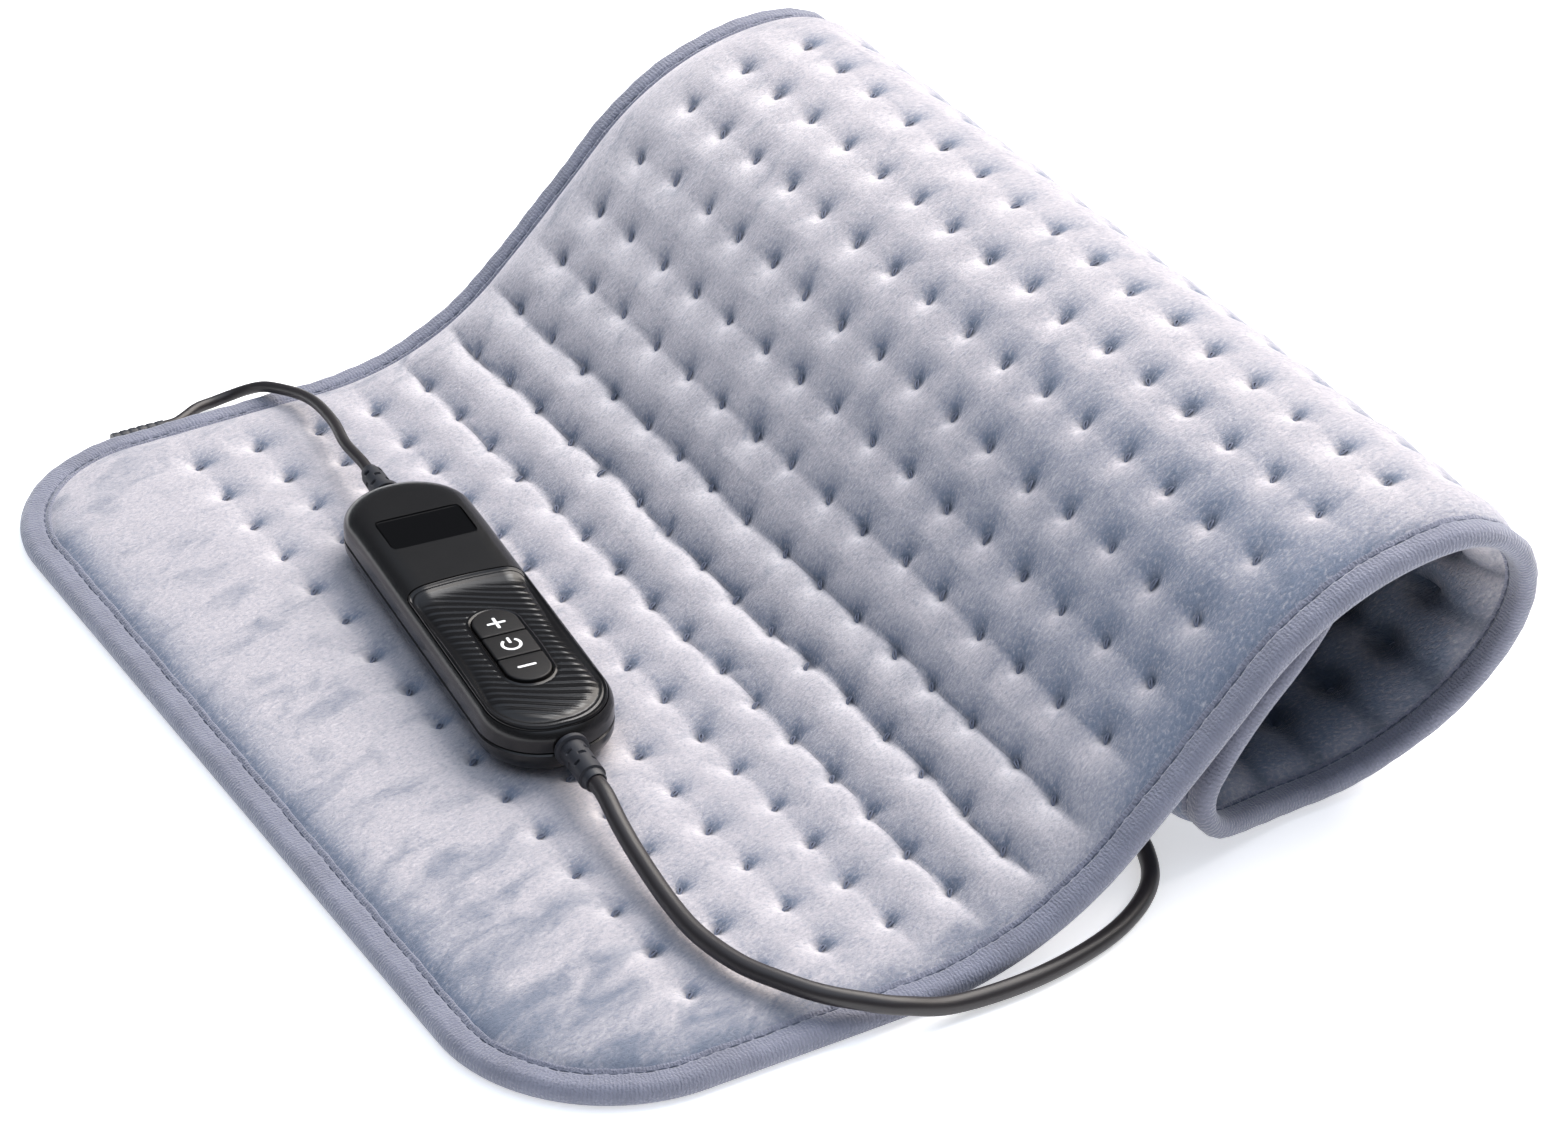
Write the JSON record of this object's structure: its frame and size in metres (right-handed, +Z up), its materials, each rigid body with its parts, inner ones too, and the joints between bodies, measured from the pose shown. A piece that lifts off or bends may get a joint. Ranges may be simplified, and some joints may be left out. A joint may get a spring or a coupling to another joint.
{
  "type": "heating pad with hand controller",
  "caption": "Tufted plush heating pad, rolled up at one end, with a bound edge and a corded hand controller with display and push keys, on a mains lead with plug.",
  "frame": {"origin": "under the middle of the pad and controller, on the table, free cords left aside", "axes": "+X along the pad from its flat end to its roll, +Y across the pad to its far long edge, +Z up"},
  "size_m": [0.2951, 0.3981, 0.0803],
  "materials": {
    "plush": "short brushed plush",
    "binding": "knitted edge tape",
    "fleece": "thin felt",
    "wire_sheath": "insulation",
    "casing": "fine matte",
    "gloss_black": "gloss",
    "key": "satin",
    "soft_black": "soft moulding",
    "cord": "satin sheath",
    "board": "solder mask",
    "resin": "moulded",
    "amber": "moulded",
    "steel": "bright",
    "brass": "polished"
  },
  "bodies": {
    "pad_and_controller": {"board_fuse": "wire_sheath", "bottom_cover": "plush", "casing_screw_1": "steel", "casing_screw_2": "steel", "casing_screw_3": "steel", "casing_screw_4": "steel", "circuit_board": "board", "coil_tie": "soft_black", "control_chip": "resin", "control_panel": "gloss_black", "display_module": "resin", "display_window": "gloss_black", "dropper_capacitor": "amber", "edge_binding": "binding", "heater_carrier": "fleece", "heating_wire": "wire_sheath", "lower_casing": "casing", "mains_coil": "cord", "mains_lead": "cord", "mains_strain_relief": "soft_black", "minus_switch": "resin", "pad_gland": "soft_black", "pad_lead": "cord", "pad_strain_relief": "soft_black", "plug_body": "soft_black", "plug_pin_left": "brass", "plug_pin_right": "brass", "plug_strain_relief": "soft_black", "plus_switch": "resin", "power_switch": "resin", "smoothing_capacitor": "steel", "temperature_sensor": "amber", "thermal_cutout": "resin", "top_cover": "plush", "triac": "resin", "upper_casing": "casing"},
    "plus_key_body": {"plus_key": "key", "plus_switch_stem": "amber"},
    "power_key_body": {"power_key": "key", "power_switch_stem": "amber"},
    "minus_key_body": {"minus_key": "key", "minus_switch_stem": "amber"}
  },
  "joints": [
    {"name": "plus_key_press", "type": "slide", "parent": "pad_and_controller", "child": "plus_key_body", "axis": [0, 0, -1], "range_m": [0, 0.0006], "stiffness_N_per_m": 400},
    {"name": "power_key_press", "type": "slide", "parent": "pad_and_controller", "child": "power_key_body", "axis": [0, 0, -1], "range_m": [0, 0.0006], "stiffness_N_per_m": 400},
    {"name": "minus_key_press", "type": "slide", "parent": "pad_and_controller", "child": "minus_key_body", "axis": [0, 0, -1], "range_m": [0, 0.0006], "stiffness_N_per_m": 400}
  ]
}
